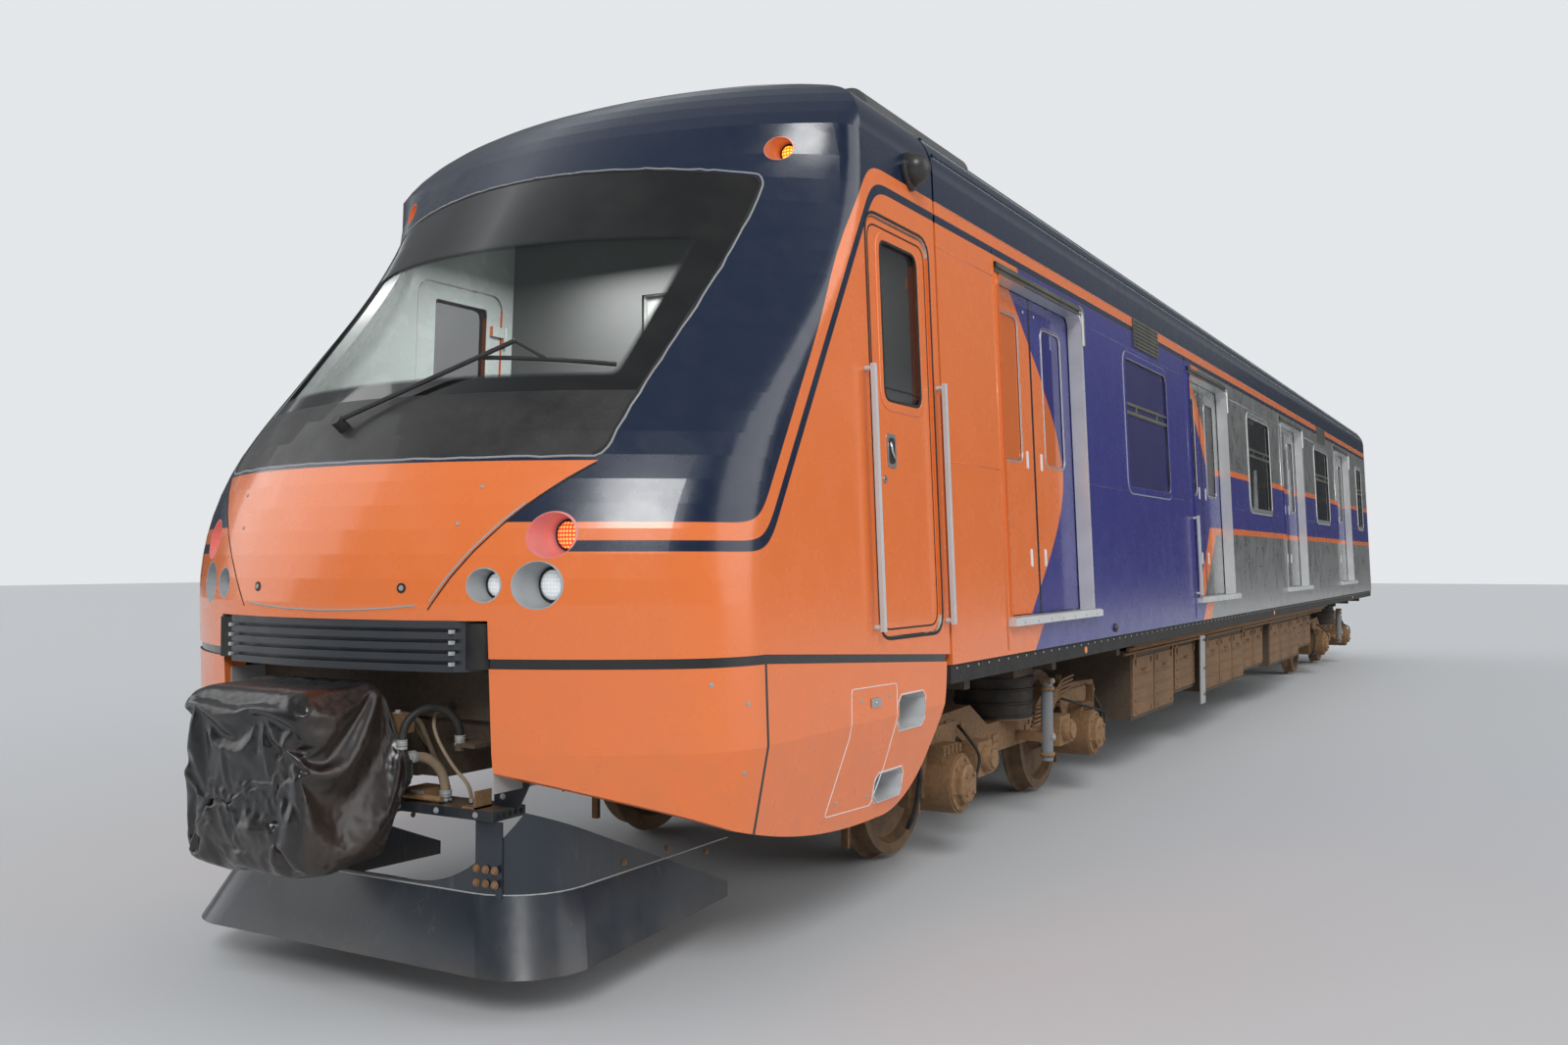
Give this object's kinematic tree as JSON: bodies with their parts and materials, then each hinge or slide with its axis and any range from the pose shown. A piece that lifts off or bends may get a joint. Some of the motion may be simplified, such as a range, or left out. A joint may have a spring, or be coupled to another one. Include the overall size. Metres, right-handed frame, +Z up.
{
  "type": "metro driving car",
  "caption": "Metro driving car with a raked cab, sliding side doors, a rear gangway and turning bogies",
  "frame": {"origin": "on the lowest point of the wheel flanges, under the middle of the car's length and width", "axes": "+Z up, +Y towards the rear gangway, -Y towards the cab, +X to the car's left-hand side"},
  "size_m": [3.1228, 22.275, 4.278],
  "materials": {
    "navy_paint": "gloss dark blue coach paint",
    "orange_paint": "gloss orange coach paint",
    "body_paint": "gloss coach paint in bands of orange, dark blue and violet",
    "tinted_glass": "dark tinted glass",
    "windshield_glass": "clear glass with a dark printed border",
    "black_panel": "smooth black panel, slightly dusty",
    "rubber": "matt black rubber",
    "grey_panel": "pale grey moulded lining",
    "lamp_silver": "satin silver paint",
    "lamp_clear": "clear ribbed lens",
    "lamp_signal": "red and amber lenses",
    "stainless": "brushed stainless steel",
    "underframe_paint": "dark grey paint with brown brake dust",
    "bogie_paint": "grey paint under rust-brown brake dust",
    "wheel_steel": "bare steel, bright on the tread and brown elsewhere",
    "hose_rubber": "rubber hose under brown dust",
    "cover_cloth": "coated black cloth",
    "seat_shell": "moulded blue-grey seat",
    "roof_grey": "matt grey paint",
    "cast_coupler": "dark cast steel"
  },
  "bodies": {
    "body": {"cab_mask": "navy_paint", "cab_skirts": "orange_paint", "windshield": "windshield_glass", "windshield_apron": "black_panel", "front_hatch": "orange_paint", "lamp_bowls": "lamp_silver", "headlamps": "lamp_clear", "signal_lamps": "lamp_signal", "anticlimber": "rubber", "wiper": "black_panel", "side_wall_left": "body_paint", "side_wall_right": "body_paint", "side_window_glass": "tinted_glass", "door_frames": "stainless", "roof": "navy_paint", "underframe": "underframe_paint", "rear_end_wall": "grey_panel", "cab_bulkhead": "grey_panel", "gangway_bellows": "rubber", "air_conditioners": "roof_grey", "side_louvres": "navy_paint", "rails_and_steps": "stainless", "side_domes": "grey_panel", "couplers": "cast_coupler", "brake_hose": "hose_rubber", "main_air_hose": "hose_rubber", "jumper_cable": "hose_rubber", "coupler_cover": "cover_cloth", "coupler_beam": "bogie_paint", "obstacle_deflector": "underframe_paint", "driver_desk": "black_panel", "seats": "seat_shell", "stanchions": "stainless", "underfloor_boxes": "underframe_paint"},
    "front_bogie": {"front_bogie_frame": "bogie_paint", "front_bogie_gear": "bogie_paint"},
    "front_bogie_leading_wheelset": {"front_bogie_leading_wheelset": "wheel_steel"},
    "front_bogie_trailing_wheelset": {"front_bogie_trailing_wheelset": "wheel_steel"},
    "rear_bogie": {"rear_bogie_frame": "bogie_paint", "rear_bogie_gear": "bogie_paint"},
    "rear_bogie_leading_wheelset": {"rear_bogie_leading_wheelset": "wheel_steel"},
    "rear_bogie_trailing_wheelset": {"rear_bogie_trailing_wheelset": "wheel_steel"},
    "door_1_left_front_leaf": {"door_1_left_front_leaf": "body_paint"},
    "door_1_left_rear_leaf": {"door_1_left_rear_leaf": "body_paint"},
    "door_1_right_front_leaf": {"door_1_right_front_leaf": "body_paint"},
    "door_1_right_rear_leaf": {"door_1_right_rear_leaf": "body_paint"},
    "door_2_left_front_leaf": {"door_2_left_front_leaf": "body_paint"},
    "door_2_left_rear_leaf": {"door_2_left_rear_leaf": "body_paint"},
    "door_2_right_front_leaf": {"door_2_right_front_leaf": "body_paint"},
    "door_2_right_rear_leaf": {"door_2_right_rear_leaf": "body_paint"},
    "door_3_left_front_leaf": {"door_3_left_front_leaf": "body_paint"},
    "door_3_left_rear_leaf": {"door_3_left_rear_leaf": "body_paint"},
    "door_3_right_front_leaf": {"door_3_right_front_leaf": "body_paint"},
    "door_3_right_rear_leaf": {"door_3_right_rear_leaf": "body_paint"},
    "door_4_left_front_leaf": {"door_4_left_front_leaf": "body_paint"},
    "door_4_left_rear_leaf": {"door_4_left_rear_leaf": "body_paint"},
    "door_4_right_front_leaf": {"door_4_right_front_leaf": "body_paint"},
    "door_4_right_rear_leaf": {"door_4_right_rear_leaf": "body_paint"},
    "cab_door_left": {"cab_door_left": "orange_paint"},
    "cab_door_right": {"cab_door_right": "orange_paint"}
  },
  "joints": [
    {"name": "front_bogie_yaw", "type": "hinge", "parent": "body", "child": "front_bogie", "pos_m": [0, -6.2225, 0.828], "axis": [0, 0, 1], "range_deg": [-5, 5]},
    {"name": "front_bogie_leading_wheelset_spin", "type": "hinge", "parent": "front_bogie", "child": "front_bogie_leading_wheelset", "pos_m": [0, -7.4725, 0.458], "axis": [1, 0, 0], "continuous": true},
    {"name": "front_bogie_trailing_wheelset_spin", "type": "hinge", "parent": "front_bogie", "child": "front_bogie_trailing_wheelset", "pos_m": [0, -4.9725, 0.458], "axis": [1, 0, 0], "continuous": true},
    {"name": "rear_bogie_yaw", "type": "hinge", "parent": "body", "child": "rear_bogie", "pos_m": [0, 7.7875, 0.828], "axis": [0, 0, 1], "range_deg": [-5, 5]},
    {"name": "rear_bogie_leading_wheelset_spin", "type": "hinge", "parent": "rear_bogie", "child": "rear_bogie_leading_wheelset", "pos_m": [0, 6.5375, 0.458], "axis": [1, 0, 0], "continuous": true},
    {"name": "rear_bogie_trailing_wheelset_spin", "type": "hinge", "parent": "rear_bogie", "child": "rear_bogie_trailing_wheelset", "pos_m": [0, 9.0375, 0.458], "axis": [1, 0, 0], "continuous": true},
    {"name": "door_1_left_front_leaf_slide", "type": "slide", "parent": "body", "child": "door_1_left_front_leaf", "axis": [0, -1, 0], "range_m": [0, 0.76]},
    {"name": "door_1_left_rear_leaf_slide", "type": "slide", "parent": "body", "child": "door_1_left_rear_leaf", "axis": [0, 1, 0], "range_m": [0, 0.76]},
    {"name": "door_1_right_front_leaf_slide", "type": "slide", "parent": "body", "child": "door_1_right_front_leaf", "axis": [0, -1, 0], "range_m": [0, 0.76]},
    {"name": "door_1_right_rear_leaf_slide", "type": "slide", "parent": "body", "child": "door_1_right_rear_leaf", "axis": [0, 1, 0], "range_m": [0, 0.76]},
    {"name": "door_2_left_front_leaf_slide", "type": "slide", "parent": "body", "child": "door_2_left_front_leaf", "axis": [0, -1, 0], "range_m": [0, 0.76]},
    {"name": "door_2_left_rear_leaf_slide", "type": "slide", "parent": "body", "child": "door_2_left_rear_leaf", "axis": [0, 1, 0], "range_m": [0, 0.76]},
    {"name": "door_2_right_front_leaf_slide", "type": "slide", "parent": "body", "child": "door_2_right_front_leaf", "axis": [0, -1, 0], "range_m": [0, 0.76]},
    {"name": "door_2_right_rear_leaf_slide", "type": "slide", "parent": "body", "child": "door_2_right_rear_leaf", "axis": [0, 1, 0], "range_m": [0, 0.76]},
    {"name": "door_3_left_front_leaf_slide", "type": "slide", "parent": "body", "child": "door_3_left_front_leaf", "axis": [0, -1, 0], "range_m": [0, 0.76]},
    {"name": "door_3_left_rear_leaf_slide", "type": "slide", "parent": "body", "child": "door_3_left_rear_leaf", "axis": [0, 1, 0], "range_m": [0, 0.76]},
    {"name": "door_3_right_front_leaf_slide", "type": "slide", "parent": "body", "child": "door_3_right_front_leaf", "axis": [0, -1, 0], "range_m": [0, 0.76]},
    {"name": "door_3_right_rear_leaf_slide", "type": "slide", "parent": "body", "child": "door_3_right_rear_leaf", "axis": [0, 1, 0], "range_m": [0, 0.76]},
    {"name": "door_4_left_front_leaf_slide", "type": "slide", "parent": "body", "child": "door_4_left_front_leaf", "axis": [0, -1, 0], "range_m": [0, 0.76]},
    {"name": "door_4_left_rear_leaf_slide", "type": "slide", "parent": "body", "child": "door_4_left_rear_leaf", "axis": [0, 1, 0], "range_m": [0, 0.76]},
    {"name": "door_4_right_front_leaf_slide", "type": "slide", "parent": "body", "child": "door_4_right_front_leaf", "axis": [0, -1, 0], "range_m": [0, 0.76]},
    {"name": "door_4_right_rear_leaf_slide", "type": "slide", "parent": "body", "child": "door_4_right_rear_leaf", "axis": [0, 1, 0], "range_m": [0, 0.76]},
    {"name": "cab_door_left_hinge", "type": "hinge", "parent": "body", "child": "cab_door_left", "pos_m": [1.39566, -8.2075, 2.22313], "axis": [0.0394, 0, -0.9992], "range_deg": [0, 90]},
    {"name": "cab_door_right_hinge", "type": "hinge", "parent": "body", "child": "cab_door_right", "pos_m": [-1.39566, -8.2075, 2.22313], "axis": [0.0394, 0, 0.9992], "range_deg": [0, 90]}
  ],
  "couplings": [
    {"joint": "door_1_left_rear_leaf_slide", "follows": "door_1_left_front_leaf_slide", "ratio": 1},
    {"joint": "door_1_right_rear_leaf_slide", "follows": "door_1_right_front_leaf_slide", "ratio": 1},
    {"joint": "door_2_left_rear_leaf_slide", "follows": "door_2_left_front_leaf_slide", "ratio": 1},
    {"joint": "door_2_right_rear_leaf_slide", "follows": "door_2_right_front_leaf_slide", "ratio": 1},
    {"joint": "door_3_left_rear_leaf_slide", "follows": "door_3_left_front_leaf_slide", "ratio": 1},
    {"joint": "door_3_right_rear_leaf_slide", "follows": "door_3_right_front_leaf_slide", "ratio": 1},
    {"joint": "door_4_left_rear_leaf_slide", "follows": "door_4_left_front_leaf_slide", "ratio": 1},
    {"joint": "door_4_right_rear_leaf_slide", "follows": "door_4_right_front_leaf_slide", "ratio": 1}
  ]
}
